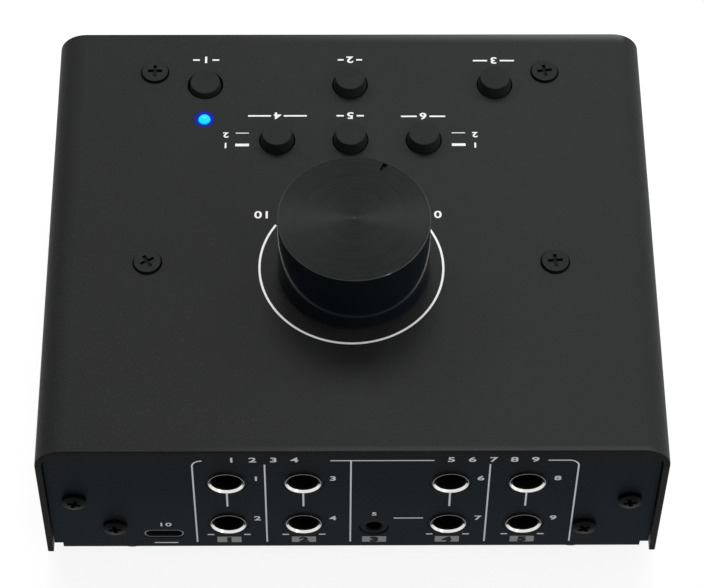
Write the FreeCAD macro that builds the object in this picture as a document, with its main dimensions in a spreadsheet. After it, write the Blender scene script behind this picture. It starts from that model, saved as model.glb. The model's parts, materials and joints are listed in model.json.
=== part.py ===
"""Studio monitor controller: a folded steel box with a volume knob, six buttons and rear sockets.

Millimetres, +Z up, -Y towards the user, +Y towards the sockets. The origin is on the table
under the middle of the box. Every size is a cell of the sheet "Sizes", and every length below
is a formula of those cells.
"""
import FreeCAD, Part
import Sketcher
import math
import os
import re

SIZES = {
    # Cover: one sheet folded down at both sides, open at the front, rear and bottom.
    "cover_width": 139.0,
    "cover_depth": 117.2,
    "cover_height": 43.3,
    "cover_sheet": 1.4,
    "cover_bend": 6.5,
    "cover_edge_round": 0.3,
    # Tray: floor, front wall, rear wall and two low side flanges.
    "tray_sheet": 1.2,
    "tray_bend": 1.4,
    "tray_recess": 1.1,
    "tray_drop": 0.7,
    "tray_gap": 0.3,
    "flange_height": 9.0,
    "relief_margin": 0.5,
    "relief_rise": 0.9,
    "relief_depth": 3.0,
    # Rubber feet.
    "foot_height": 3.0,
    "foot_top_diameter": 11.0,
    "foot_base_diameter": 9.8,
    "foot_round": 0.6,
    "foot_side_inset": 19.0,
    "foot_end_inset": 8.0,
    # M3 screws.
    "screw_diameter": 3.0,
    "screw_clearance": 0.4,
    "pan_head_diameter": 5.4,
    "pan_head_height": 1.4,
    "pan_head_rim": 1.0,
    "pan_screw_length": 5.0,
    "low_head_diameter": 6.8,
    "low_head_face": 6.0,
    "low_head_height": 0.65,
    "low_screw_length": 8.0,
    "low_cross_span": 3.4,
    "low_cross_width": 0.85,
    "low_cross_depth": 0.5,
    "cross_span": 3.0,
    "cross_width": 0.9,
    "cross_depth": 1.2,
    "thread_chamfer": 0.5,
    # Brackets that join the cover to the tray.
    "bracket_sheet": 1.5,
    "bracket_leg": 10.0,
    "bracket_side": 12.0,
    "bracket_height": 12.0,
    "outer_screw_inset": 7.5,
    "outer_screw_rise": 20.7,
    # Control board under the cover, on hexagonal spacers.
    "board_thickness": 1.6,
    "spacer_length": 12.0,
    "spacer_flats": 5.5,
    "top_screw_offset": 12.0,
    "top_screw_inset": 11.8,
    "top_screw_rear_inset": 10.6,
    "control_board_margin": 7.8,
    "control_board_inset": 4.6,
    "control_board_jack_gap": 6.3,
    # Buttons, each a cap on a plunger in a switch.
    "button_pitch": 17.1,
    "button_row_pitch": 16.5,
    "button_inset": 15.6,
    "button_hole_gap": 0.35,
    "cap_diameter": 7.8,
    "cap_gap": 2.6,
    "cap_face_diameter": 6.9,
    "cap_taper_height": 2.5,
    "cap_round": 0.2,
    "cap_rise": 2.7,
    "cap_socket_depth": 3.5,
    "latch_drop": 1.5,
    "switch_width": 8.0,
    "switch_height": 7.0,
    "switch_lid": 1.2,
    "switch_wall": 1.6,
    "switch_floor": 1.0,
    "stem_width": 3.0,
    "stem_gap": 0.1,
    "stem_foot_gap": 0.2,
    "stem_foot_height": 1.2,
    # Light beside the wireless button.
    "led_diameter": 3.0,
    "led_height": 5.3,
    "led_rim": 0.4,
    "led_rim_height": 0.8,
    "led_rise": 0.8,
    "led_hole_gap": 0.1,
    "led_flat": 0.1,
    "led_offset": 10.2,
    "led_lead_width": 0.5,
    "led_lead_pitch": 2.54,
    # Volume knob and potentiometer.
    "knob_offset": 0.5,
    "knob_board_inset": 9.3,
    "knob_top_diameter": 34.0,
    "knob_draft": 0.2,
    "knob_height": 18.0,
    "knob_gap": 0.9,
    "knob_chamfer": 0.2,
    "knob_recess_diameter": 18.0,
    "knob_recess_depth": 3.6,
    "knob_roof": 4.0,
    "pointer_angle": 25.6,
    "pointer_wall": 0.5,
    "pointer_length": 2.3,
    "pointer_width": 1.0,
    "pointer_depth": 0.75,
    "shaft_diameter": 6.0,
    "shaft_gap": 0.05,
    "shaft_flat": 1.5,
    "shaft_flat_margin": 1.5,
    "set_screw_length": 8.0,
    "set_screw_key": 1.5,
    "set_screw_key_depth": 2.0,
    "set_screw_height": 9.0,
    "pot_width": 17.0,
    "pot_depth": 18.0,
    "pot_corner": 2.0,
    "bushing_diameter": 9.0,
    "bushing_length": 4.4,
    "bushing_hole_gap": 0.2,
    "washer_diameter": 14.0,
    "washer_thickness": 0.5,
    "nut_flats": 12.0,
    "nut_height": 2.0,
    "rotor_diameter": 10.0,
    "rotor_thickness": 1.6,
    "rotor_gap": 0.3,
    "rotor_floor": 3.0,
    # Main board with the rear sockets.
    "main_board_margin": 1.2,
    "main_board_lift": 2.12,
    "main_board_depth": 50.8,
    "main_board_gap": 0.5,
    "support_side_inset": 5.0,
    "support_inset": 5.0,
    "support_diameter": 6.0,
    "support_pin": 2.8,
    "support_stub": 3.8,
    "support_barb": 0.4,
    "support_tip": 1.6,
    "block_width": 6.0,
    "block_depth": 8.0,
    "block_height": 9.0,
    "block_usb_gap": 3.4,
    "block_jack_gap": 2.78,
    "inner_screw_rise": 5.68,
    # Quarter-inch sockets, two in each housing.
    "jack_gap": 1.0,
    "jack_right_pair": 19.4,
    "jack_left_pair": 30.25,
    "jack_rise": 6.48,
    "jack_row_pitch": 17.8,
    "jack_body_width": 16.0,
    "jack_body_depth": 31.0,
    "jack_body_margin": 7.9,
    "jack_body_round": 0.6,
    "jack_nose_wall": 0.55,
    "jack_nose_recess": 0.1,
    "jack_hole_gap": 0.15,
    "jack_bore": 6.6,
    "jack_back_wall": 1.4,
    "ring_step": 0.25,
    "ring_wall": 0.5,
    "ring_length": 0.75,
    "ring_rise": 0.4,
    "ring_cone": 0.35,
    "ring_cone_depth": 0.55,
    # Small stereo socket.
    "mini_offset": 5.0,
    "mini_rise": 4.28,
    "mini_body_width": 11.0,
    "mini_body_depth": 16.0,
    "mini_body_margin": 3.4,
    "mini_nose_diameter": 6.2,
    "mini_nose_recess": 0.3,
    "mini_hole_gap": 0.3,
    "mini_bore": 3.6,
    "mini_back_wall": 2.3,
    "mini_chamfer": 0.3,
    # USB-C socket.
    "usb_jack_gap": 2.3,
    "usb_width": 8.94,
    "usb_height": 3.26,
    "usb_shell": 0.3,
    "usb_length": 7.3,
    "usb_recess": 0.2,
    "usb_hole_gap": 0.18,
    "usb_base": 1.4,
    "tongue_width": 6.69,
    "tongue_thickness": 0.7,
    "tongue_recess": 0.8,
    # Wireless receiver module.
    "module_width": 13.0,
    "module_depth": 18.0,
    "module_board": 0.8,
    "module_side_inset": 9.4,
    "module_jack_gap": 0.8,
    "can_width": 11.0,
    "can_depth": 12.0,
    "can_height": 1.8,
    "can_margin": 1.0,
    # Ribbon cable between the two boards.
    "header_width": 24.0,
    "header_depth": 6.0,
    "header_height": 6.0,
    "header_offset": 20.0,
    "upper_header_inset": 21.0,
    "lower_header_jack_gap": 10.3,
    "ribbon_width": 20.0,
    "ribbon_thickness": 1.0,
    "ribbon_bend": 2.5,
}

PLACES = {
    "cover_bottom": "foot_height + tray_drop",
    "cover_top": "cover_bottom + cover_height",
    "cover_under": "cover_top - cover_sheet",
    "cover_inner": "cover_width / 2 - cover_sheet",
    "cover_front": "-cover_depth / 2",
    "panel_face": "cover_depth / 2 - tray_recess",
    "panel_inner": "panel_face - tray_sheet",
    "tray_half": "cover_inner - tray_gap",
    "tray_top": "cover_under - tray_gap",
    "floor_top": "foot_height + tray_sheet",
    "flange_end": "panel_face - relief_depth",
    "relief": "tray_bend + relief_margin",
    "screw_hole": "screw_diameter + screw_clearance",
    "outer_screw_x": "cover_width / 2 - outer_screw_inset",
    "outer_screw_level": "floor_top + outer_screw_rise",
    "top_screw_front": "cover_front + top_screw_inset",
    "top_screw_rear": "control_rear - top_screw_rear_inset",
    "top_screw_x": "2 * button_pitch + top_screw_offset",
    "control_half": "top_screw_x + control_board_margin",
    "control_front": "cover_front + control_board_inset",
    "control_rear": "jack_rear - control_board_jack_gap",
    "control_top": "cover_under - spacer_length",
    "control_under": "control_top - board_thickness",
    "button_front": "cover_front + button_inset",
    "button_rear": "button_front + button_row_pitch",
    "button_hole": "cap_diameter + 2 * button_hole_gap",
    "switch_top": "control_top + switch_height",
    "cap_bottom": "switch_top + cap_gap",
    "cap_top": "cover_top + cap_rise",
    "lid_under": "switch_top - switch_lid",
    "cavity_width": "switch_width - 2 * switch_wall",
    "led_y": "button_front + led_offset",
    "led_bottom": "cover_top + led_rise - led_height",
    "led_hole": "led_diameter + 2 * led_hole_gap",
    "knob_x": "-1 * knob_offset",
    "knob_y": "control_rear - knob_board_inset",
    "knob_base_radius": "knob_top_diameter / 2 + knob_draft",
    "knob_bottom": "cover_top + knob_gap",
    "knob_top": "knob_bottom + knob_height",
    "knob_recess_top": "knob_bottom + knob_recess_depth",
    "shaft_top": "knob_top - knob_roof",
    "set_screw_level": "knob_bottom + set_screw_height",
    "flat_distance": "shaft_diameter / 2 - shaft_flat",
    "bushing_top": "cover_under + bushing_length",
    "bushing_hole": "bushing_diameter + 2 * bushing_hole_gap",
    "nut_bottom": "cover_top + washer_thickness",
    "rotor_bottom": "control_top + rotor_floor + rotor_gap",
    "main_under": "floor_top + main_board_lift",
    "main_top": "main_under + board_thickness",
    "main_rear": "panel_inner - main_board_gap",
    "main_front": "main_rear - main_board_depth",
    "main_left": "-jack_left_end - block_jack_gap - block_width - main_board_margin",
    "main_right": "usb_x + usb_width / 2 + block_usb_gap + block_width + main_board_margin",
    "block_left": "main_left + main_board_margin + block_width / 2",
    "block_right": "main_right - main_board_margin - block_width / 2",
    "inner_screw_level": "main_top + inner_screw_rise",
    "support_y": "main_front + support_inset",
    "jack_rear": "panel_inner - jack_body_depth",
    "jack_low": "main_top + jack_rise",
    "jack_high": "jack_low + jack_row_pitch",
    "jack_pitch": "jack_body_width + jack_gap",
    "jack_left_end": "(jack_left_pair + jack_pitch / 2 + jack_body_width / 2)",
    "jack_right_end": "jack_right_pair + jack_pitch / 2 + jack_body_width / 2",
    "ring_bore": "jack_bore + 2 * ring_step",
    "ring_diameter": "ring_bore + 2 * ring_wall",
    "jack_nose_diameter": "ring_diameter + 2 * jack_nose_wall",
    "jack_hole": "jack_nose_diameter + 2 * jack_hole_gap",
    "jack_mouth": "panel_face + ring_rise",
    "mini_level": "main_top + mini_rise",
    "mini_face": "panel_face - mini_nose_recess",
    "mini_rear": "panel_inner - mini_body_depth",
    "usb_x": "jack_right_end + usb_jack_gap + usb_width / 2",
    "usb_level": "main_top + usb_height / 2",
    "usb_mouth": "panel_face - usb_recess",
    "usb_back": "usb_mouth - usb_length",
    "module_left": "main_right - module_side_inset - module_width",
    "module_front": "jack_rear - module_jack_gap - module_depth",
    "upper_header_y": "control_rear - upper_header_inset",
    "lower_header_y": "jack_rear - lower_header_jack_gap",
    "ribbon_top": "control_under - header_height",
    "ribbon_bottom": "main_top + header_height",
    "ribbon_middle": "(ribbon_top + ribbon_bottom) / 2",
}

# Each button's place and how far it stands below its released height.
BUTTONS = {
    "wireless": ("2 * button_pitch", "button_front", "latch_drop"),
    "mute": ("0", "button_front", "0"),
    "mono": ("-2 * button_pitch", "button_front", "0"),
    "monitor": ("button_pitch", "button_rear", "0"),
    "dim": ("0", "button_rear", "0"),
    "input": ("-button_pitch", "button_rear", "0"),
}

# Columns of quarter-inch sockets, from +X to -X.
JACK_COLUMNS = (
    "jack_right_pair + jack_pitch / 2",
    "jack_right_pair - jack_pitch / 2",
    "-jack_left_pair + jack_pitch / 2",
    "-jack_left_pair - jack_pitch / 2",
)

BLOCKS = {"left": "block_left", "right": "block_right"}
SUPPORTS = ("main_left + support_side_inset", "main_right - support_side_inset")

CORNERS = {"front_left": (-1, -1), "front_right": (1, -1), "rear_left": (-1, 1), "rear_right": (1, 1)}
UPRIGHT = FreeCAD.Rotation()
TOWARDS_REAR = FreeCAD.Rotation(FreeCAD.Vector(1, 0, 0), -90)
TOWARDS_FRONT = FreeCAD.Rotation(FreeCAD.Vector(1, 0, 0), 90)
CLOCKWISE = FreeCAD.Vector(0, 0, -1)
NEAR = 0.001

doc = FreeCAD.newDocument("MonitorController")
sheet = doc.addObject("Spreadsheet::Sheet", "Sizes")
subparts = []


def fill_sheet():
    """Writes every size as text into a cell that has the size's name as its alias."""
    for row, (name, number) in enumerate(SIZES.items(), 1):
        sheet.set(f"A{row}", name)
        sheet.set(f"B{row}", str(number))
        sheet.setAlias(f"B{row}", name)
    doc.recompute()


def formula(text):
    """Turns a formula of named sizes and places into an expression on the sheet."""

    def written_out(match):
        name = match.group(0)
        if name in PLACES:
            return "(" + formula(PLACES[name]) + ")"
        if name in SIZES:
            return "Sizes." + name
        return name

    return re.sub(r"[a-z][a-z_]*", written_out, text)


def value(text):
    """The number that a formula gives."""
    return float(sheet.evalExpression(formula(text)))


def bind(item, prop, text):
    """Ties a property of an object to a formula."""
    item.setExpression(prop, formula(text))


def place(item, x, y, z, turn=UPRIGHT):
    """Moves an object to a point given by formulas."""
    item.Placement = FreeCAD.Placement(FreeCAD.Vector(), turn)
    for axis, text in zip("xyz", (x, y, z)):
        bind(item, f"Placement.Base.{axis}", text)


def new_body(label):
    """An empty body that is no sub-part yet."""
    body = doc.addObject("PartDesign::Body", label)
    body.Label = label
    return body


def new_subpart(label):
    """An empty body that is one named piece of the object."""
    body = new_body(label)
    subparts.append(body)
    return body


def settle(body, feature):
    """Builds a feature and stops if it failed."""
    doc.recompute()
    if not feature.isValid() or not body.Shape.isValid() or body.Shape.Volume < NEAR:
        raise RuntimeError(f"{body.Label}: {feature.Name} did not build")


class Drawing:
    """A sketch on an origin plane of a body, with every point held by formulas.

    The XY plane faces +Z, the XZ plane faces -Y and the YZ plane faces +X. The level is the
    sketch's height along that direction.
    """

    def __init__(self, body, plane, level="0"):
        self.body = body
        self.sketch = body.newObject("Sketcher::SketchObject", "Sketch")
        support = next(f for f in body.Origin.OriginFeatures if f.Role == plane)
        self.sketch.AttachmentSupport = [(support, "")]
        self.sketch.MapMode = "FlatFace"
        bind(self.sketch, "AttachmentOffset.Base.z", level)

    def hold(self, *constraint, text):
        """Adds a constraint whose datum follows a formula."""
        number = self.sketch.addConstraint(Sketcher.Constraint(*constraint, value(text)))
        bind(self.sketch, f"Constraints[{number}]", text)

    def hold_point(self, shape, end, x, y):
        self.hold("DistanceX", -1, 1, shape, end, text=x)
        self.hold("DistanceY", -1, 1, shape, end, text=y)

    def loop(self, points, dome=None):
        """A closed outline of straight lines through the points.

        The side numbered by dome, if any, is an arc round a point of the vertical axis that ends
        on the axis, so that it turns into a domed top.
        """
        spots = [FreeCAD.Vector(value(x), value(y), 0) for x, y in points]
        first = self.sketch.GeometryCount
        count = len(points)
        for n in range(count):
            side = Part.LineSegment(spots[n], spots[(n + 1) % count])
            if n == dome:
                side = dome_arc(spots[n], spots[n + 1])
            self.sketch.addGeometry(side, False)
            if n == dome:
                self.sketch.addConstraint(Sketcher.Constraint("PointOnObject", first + n, 3, -2))
        for n, (x, y) in enumerate(points):
            after = first + (n + 1) % count
            self.sketch.addConstraint(Sketcher.Constraint("Coincident", first + n, 2, after, 1))
            self.hold_point(first + n, 1, x, y)
        return self

    def box(self, x0, y0, x1, y1):
        return self.loop([(x0, y0), (x1, y0), (x1, y1), (x0, y1)])

    def square(self, width):
        half = f"({width}) / 2"
        return self.box(f"-{half}", f"-{half}", half, half)

    def circle(self, x, y, diameter):
        centre = FreeCAD.Vector(value(x), value(y), 0)
        round_shape = Part.Circle(centre, FreeCAD.Vector(0, 0, 1), value(diameter) / 2)
        number = self.sketch.addGeometry(round_shape, False)
        self.hold_point(number, 3, x, y)
        self.hold("Diameter", number, text=diameter)
        return self

    def pill(self, x, y, width, height):
        """A flat slot with half-round ends."""
        reach = f"(({width}) - ({height})) / 2"
        radius = value(f"({height}) / 2")
        up = FreeCAD.Vector(0, 0, 1)
        left = FreeCAD.Vector(value(f"({x}) - {reach}"), value(y), 0)
        right = FreeCAD.Vector(value(f"({x}) + {reach}"), value(y), 0)
        rise = FreeCAD.Vector(0, radius, 0)
        quarter = math.pi / 2
        left_end = Part.ArcOfCircle(Part.Circle(left, up, radius), quarter, 3 * quarter)
        right_end = Part.ArcOfCircle(Part.Circle(right, up, radius), 3 * quarter, 5 * quarter)
        a = self.sketch.addGeometry(left_end, False)
        b = self.sketch.addGeometry(Part.LineSegment(left - rise, right - rise), False)
        c = self.sketch.addGeometry(right_end, False)
        d = self.sketch.addGeometry(Part.LineSegment(right + rise, left + rise), False)
        for one, two in ((a, b), (b, c), (c, d), (d, a)):
            self.sketch.addConstraint(Sketcher.Constraint("Tangent", one, 2, two, 1))
        self.hold_point(a, 3, f"({x}) - {reach}", y)
        self.hold_point(c, 3, f"({x}) + {reach}", y)
        self.sketch.addConstraint(Sketcher.Constraint("Equal", a, c))
        self.hold("Diameter", a, text=height)
        return self

    def pad(self, length, symmetric=False, flip=False):
        feature = self.body.newObject("PartDesign::Pad", "Pad")
        feature.Profile = self.sketch
        feature.SideType = "Symmetric" if symmetric else "One side"
        feature.Reversed = flip
        bind(feature, "Length", length)
        settle(self.body, feature)

    def pocket(self, length, flip=False):
        """Cuts against the direction that the sketch faces, or along it when flipped."""
        before = self.body.Shape.Volume
        feature = self.body.newObject("PartDesign::Pocket", "Pocket")
        feature.Profile = self.sketch
        feature.Reversed = flip
        bind(feature, "Length", length)
        settle(self.body, feature)
        if self.body.Shape.Volume > before - NEAR:
            raise RuntimeError(f"{self.body.Label}: {feature.Name} cuts nothing")

    def revolve(self, cut=False):
        """Turns an outline on the XZ plane once round the Z axis."""
        kind = "PartDesign::Groove" if cut else "PartDesign::Revolution"
        feature = self.body.newObject(kind, "Turned")
        feature.Profile = self.sketch
        feature.ReferenceAxis = (self.sketch, ["V_Axis"])
        feature.Angle = 360
        settle(self.body, feature)


def dome_arc(rim, crown):
    """The arc from a rim up to a crown on the vertical axis, level at the crown."""
    rise = crown.y - rim.y
    radius = (rim.x**2 + rise**2) / (2 * rise)
    centre = FreeCAD.Vector(0, crown.y - radius, 0)
    start = math.atan2(rim.y - centre.y, rim.x)
    return Part.ArcOfCircle(Part.Circle(centre, FreeCAD.Vector(0, 0, 1), radius), start, math.pi / 2)


def edges_through(shape, points):
    """Names the edges of a shape that pass through points given by formulas."""
    names = []
    for point in points:
        spot = Part.Vertex(*(value(text) for text in point))
        for number, edge in enumerate(shape.Edges, 1):
            if edge.distToShape(spot)[0] < NEAR and f"Edge{number}" not in names:
                names.append(f"Edge{number}")
    return names


def dress(body, kind, prop, size, points):
    """Rounds or bevels the edges of a body that pass through the points."""
    base = body.Tip
    names = edges_through(base.Shape, points)
    feature = body.newObject(f"PartDesign::{kind}", kind)
    feature.Base = (base, names)
    bind(feature, prop, size)
    settle(body, feature)


def fillet(body, radius, points):
    dress(body, "Fillet", "Radius", radius, points)


def chamfer(body, size, points):
    dress(body, "Chamfer", "Size", size, points)


def group(label, master, places):
    """Copies one fastener to several places, all in one node as separate solids."""
    copies = []
    for x, y, z, turn in places:
        copy = doc.addObject("App::Link", f"{label}_copy")
        copy.LinkedObject = master
        place(copy, x, y, z, turn)
        copies.append(copy)
    compound = doc.addObject("Part::Compound", label)
    compound.Label = label
    compound.Links = copies
    subparts.append(compound)


def mirrored(sign, text):
    """A formula, or its opposite on the other side of the middle."""
    return f"{sign} * ({text})"


def rectangle_places(spread, front, rear, level, turns):
    """Four places: left and right of the middle at the front, then at the rear."""
    spots = [(mirrored(side, f"({spread}) / 2"), y) for y in (front, rear) for side in (-1, 1)]
    return [(x, y, level, turn) for (x, y), turn in zip(spots, turns)]


def spun(base, degrees):
    """A fastener's direction, with its cross recess turned by some degrees."""
    return base.multiply(FreeCAD.Rotation(FreeCAD.Vector(0, 0, 1), degrees))


def make_cover():
    body = new_subpart("top_cover")
    profile = Drawing(body, "XZ_Plane")
    outer = "cover_width / 2"
    profile.loop(
        [
            ("-" + outer, "cover_bottom"),
            ("-" + outer, "cover_top"),
            (outer, "cover_top"),
            (outer, "cover_bottom"),
            ("cover_inner", "cover_bottom"),
            ("cover_inner", "cover_under"),
            ("-cover_inner", "cover_under"),
            ("-cover_inner", "cover_bottom"),
        ]
    )
    profile.pad("cover_depth", symmetric=True)
    inner_bend = "cover_bend - cover_sheet"
    fillet(body, inner_bend, [(mirrored(s, "cover_inner"), "0", "cover_under") for s in (-1, 1)])
    fillet(body, "cover_bend", [(mirrored(s, outer), "0", "cover_top") for s in (-1, 1)])
    ends = [("0", mirrored(s, "cover_depth / 2"), "cover_top") for s in (-1, 1)]
    fillet(body, "cover_edge_round", ends)
    holes = Drawing(body, "XY_Plane", "cover_top")
    for x, y, _ in BUTTONS.values():
        holes.circle(x, y, "button_hole")
    holes.circle("2 * button_pitch", "led_y", "led_hole")
    holes.circle("knob_x", "knob_y", "bushing_hole")
    for y in ("top_screw_front", "top_screw_rear"):
        for side in (-1, 1):
            holes.circle(mirrored(side, "top_screw_x"), y, "screw_hole")
    holes.pocket("cover_sheet")


def make_tray():
    body = new_subpart("chassis_tray")
    profile = Drawing(body, "YZ_Plane")
    profile.loop(
        [
            ("-panel_face", "foot_height"),
            ("panel_face", "foot_height"),
            ("panel_face", "tray_top"),
            ("panel_inner", "tray_top"),
            ("panel_inner", "floor_top"),
            ("-panel_inner", "floor_top"),
            ("-panel_inner", "tray_top"),
            ("-panel_face", "tray_top"),
        ]
    )
    profile.pad("2 * tray_half", symmetric=True)
    inner_bend = "tray_bend - tray_sheet"
    fillet(body, "tray_bend", [("0", mirrored(s, "panel_face"), "foot_height") for s in (-1, 1)])
    fillet(body, inner_bend, [("0", mirrored(s, "panel_inner"), "floor_top") for s in (-1, 1)])
    wall_middle = "panel_face - tray_sheet / 2"
    corners = [
        (mirrored(side, "tray_half"), mirrored(end, wall_middle), "tray_top")
        for side in (-1, 1)
        for end in (-1, 1)
    ]
    fillet(body, "cover_bend - cover_sheet - tray_gap", corners)
    flanges = Drawing(body, "XY_Plane", "foot_height")
    for side in (-1, 1):
        flanges.box(
            mirrored(side, "tray_half - tray_sheet"),
            "-flange_end",
            mirrored(side, "tray_half"),
            "flange_end",
        )
    flanges.pad("flange_height")
    reliefs = Drawing(body, "XY_Plane", "foot_height + relief + relief_rise")
    for side, end in CORNERS.values():
        reliefs.box(
            mirrored(side, "tray_half - relief"),
            mirrored(end, "flange_end"),
            mirrored(side, "tray_half"),
            mirrored(end, "panel_face"),
        )
    reliefs.pocket("relief + relief_rise")
    fillet(body, "tray_bend", [(mirrored(s, "tray_half"), "0", "foot_height") for s in (-1, 1)])
    inner_side = "tray_half - tray_sheet"
    fillet(body, inner_bend, [(mirrored(s, inner_side), "0", "floor_top") for s in (-1, 1)])
    cut_rear_openings(body)
    cut_front_holes(body)
    stubs = Drawing(body, "XY_Plane", "floor_top")
    for x in SUPPORTS:
        stubs.circle(x, "support_y", "support_stub")
    stubs.pocket("tray_sheet")


def cut_rear_openings(body):
    """Openings of the rear wall for the sockets and the four panel screws."""
    openings = Drawing(body, "XZ_Plane", "-panel_face")
    for x in JACK_COLUMNS:
        for level in ("jack_low", "jack_high"):
            openings.circle(x, level, "jack_hole")
    openings.circle("-mini_offset", "mini_level", "mini_nose_diameter + 2 * mini_hole_gap")
    slot = ("usb_width + 2 * usb_hole_gap", "usb_height + 2 * usb_hole_gap")
    openings.pill("usb_x", "usb_level", *slot)
    for side in (-1, 1):
        openings.circle(mirrored(side, "outer_screw_x"), "outer_screw_level", "screw_hole")
    for x in BLOCKS.values():
        openings.circle(x, "inner_screw_level", "screw_hole")
    openings.pocket("tray_sheet", flip=True)


def cut_front_holes(body):
    """Holes of the front wall for two panel screws."""
    holes = Drawing(body, "XZ_Plane", "panel_face")
    for side in (-1, 1):
        holes.circle(mirrored(side, "outer_screw_x"), "outer_screw_level", "screw_hole")
    holes.pocket("tray_sheet")


def make_feet():
    for name, (side, end) in CORNERS.items():
        body = new_subpart(f"foot_{name}")
        profile = Drawing(body, "XZ_Plane")
        profile.loop(
            [
                ("0", "0"),
                ("foot_base_diameter / 2", "0"),
                ("foot_top_diameter / 2", "foot_height"),
                ("0", "foot_height"),
            ]
        )
        profile.revolve()
        fillet(body, "foot_round", [("foot_base_diameter / 2", "0", "0")])
        x = mirrored(side, "cover_width / 2 - foot_side_inset")
        y = mirrored(end, "cover_depth / 2 - foot_end_inset")
        place(body, x, y, "0")


def make_brackets():
    """Angle brackets welded inside the cover's walls, tapped for the panel screws."""
    brackets = []
    for name, (side, end) in CORNERS.items():
        body = new_body(f"bracket_{name}")
        outline = Drawing(body, "XY_Plane", "outer_screw_level - bracket_height / 2")
        points = [
            ("cover_inner - bracket_leg", "panel_inner"),
            ("cover_inner", "panel_inner"),
            ("cover_inner", "panel_inner - bracket_side"),
            ("cover_inner - bracket_sheet", "panel_inner - bracket_side"),
            ("cover_inner - bracket_sheet", "panel_inner - bracket_sheet"),
            ("cover_inner - bracket_leg", "panel_inner - bracket_sheet"),
        ]
        outline.loop([(mirrored(side, x), mirrored(end, y)) for x, y in points])
        outline.pad("bracket_height")
        thread = Drawing(body, "XZ_Plane", mirrored(-end, "panel_inner"))
        x = mirrored(side, "outer_screw_x")
        thread.circle(x, "outer_screw_level", "screw_diameter")
        thread.pocket("bracket_sheet", flip=end > 0)
        brackets.append(body)
    compound = doc.addObject("Part::Compound", "cover_brackets")
    compound.Links = brackets
    subparts.append(compound)


def cut_cross(body, level, size="cross"):
    """Cuts a cross recess of a named size into the middle of a screw head."""
    reach = f"{size}_span / 2"
    half = f"{size}_width / 2"
    quarter = [(half, reach), ("-" + half, reach), ("-" + half, half)]
    cross = Drawing(body, "XY_Plane", level)
    points = list(quarter)
    for _ in range(3):
        quarter = [(f"-({y})", x) for x, y in quarter]
        points += quarter
    cross.loop(points)
    cross.pocket(f"{size}_depth")


def make_pan_screw():
    """Pan-head screw along +Z, with the underside of its head at the origin."""
    body = new_body("pan_head_screw")
    profile = Drawing(body, "XZ_Plane")
    profile.loop(
        [
            ("0", "-pan_screw_length"),
            ("screw_diameter / 2", "-pan_screw_length"),
            ("screw_diameter / 2", "0"),
            ("pan_head_diameter / 2", "0"),
            ("pan_head_diameter / 2", "pan_head_rim"),
            ("0", "pan_head_height"),
        ],
        dome=4,
    )
    profile.revolve()
    cut_cross(body, "pan_head_height")
    return body


def make_low_screw():
    """Screw with a thin, tapered head along +Z, with the underside of its head at the origin."""
    body = new_body("low_head_screw")
    profile = Drawing(body, "XZ_Plane")
    profile.loop(
        [
            ("0", "-low_screw_length"),
            ("screw_diameter / 2", "-low_screw_length"),
            ("screw_diameter / 2", "0"),
            ("low_head_diameter / 2", "0"),
            ("low_head_face / 2", "low_head_height"),
            ("0", "low_head_height"),
        ]
    )
    profile.revolve()
    cut_cross(body, "low_head_height", "low_cross")
    return body


def make_screws():
    pan = make_pan_screw()
    rear = "panel_face"
    places = []
    for side, inner, spins in ((-1, "block_left", (12, 35)), (1, "block_right", (-20, 8))):
        outer = mirrored(side, "outer_screw_x")
        places.append((outer, rear, "outer_screw_level", spun(TOWARDS_REAR, spins[0])))
        places.append((inner, rear, "inner_screw_level", spun(TOWARDS_REAR, spins[1])))
        places.append((outer, "-panel_face", "outer_screw_level", spun(TOWARDS_FRONT, spins[1])))
    group("panel_screws", pan, places)
    down = FreeCAD.Rotation(FreeCAD.Vector(1, 0, 0), 180)
    rows = ("top_screw_front", "top_screw_rear")
    turns = [spun(down, degrees) for degrees in (0, 25, 50, 10)]
    group("board_screws", pan, rectangle_places("2 * top_screw_x", *rows, "control_under", turns))
    turns = [spun(UPRIGHT, degrees) for degrees in (8, 0, 4, 30)]
    low = make_low_screw()
    group("top_screws", low, rectangle_places("2 * top_screw_x", *rows, "cover_top", turns))


def hexagon(body, flats, level):
    """A hexagon of a given size across its flats, on the XY plane."""
    reach = f"({flats}) / 2"
    corner = f"({flats}) / 2 * tan(30 deg)"
    tip = f"({flats}) * tan(30 deg)"
    points = [
        (reach, corner),
        ("0", tip),
        (f"-({reach})", corner),
        (f"-({reach})", f"-({corner})"),
        ("0", f"-({tip})"),
        (reach, f"-({corner})"),
    ]
    return Drawing(body, "XY_Plane", level).loop(points)


def make_spacers():
    """Hexagonal spacers that hang the control board under the cover."""
    body = new_body("hex_spacer")
    hexagon(body, "spacer_flats", "0").pad("spacer_length")
    Drawing(body, "XY_Plane", "spacer_length").circle("0", "0", "screw_diameter").pocket("spacer_length")
    chamfer(body, "thread_chamfer", [("screw_diameter / 2", "0", "spacer_length")])
    rows = ("top_screw_front", "top_screw_rear")
    places = rectangle_places("2 * top_screw_x", *rows, "control_top", [UPRIGHT] * 4)
    group("board_spacers", body, places)


def make_control_board():
    body = new_subpart("control_board")
    outline = Drawing(body, "XY_Plane", "control_under")
    outline.box("-control_half", "control_front", "control_half", "control_rear")
    for side in (-1, 1):
        for y in ("top_screw_front", "top_screw_rear"):
            outline.circle(mirrored(side, "top_screw_x"), y, "screw_hole")
    outline.pad("board_thickness")


def make_main_board():
    body = new_subpart("main_board")
    outline = Drawing(body, "XY_Plane", "main_under")
    outline.box("main_left", "main_front", "main_right", "main_rear")
    for x in SUPPORTS:
        outline.circle(x, "support_y", "support_pin")
    outline.pad("board_thickness")


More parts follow.
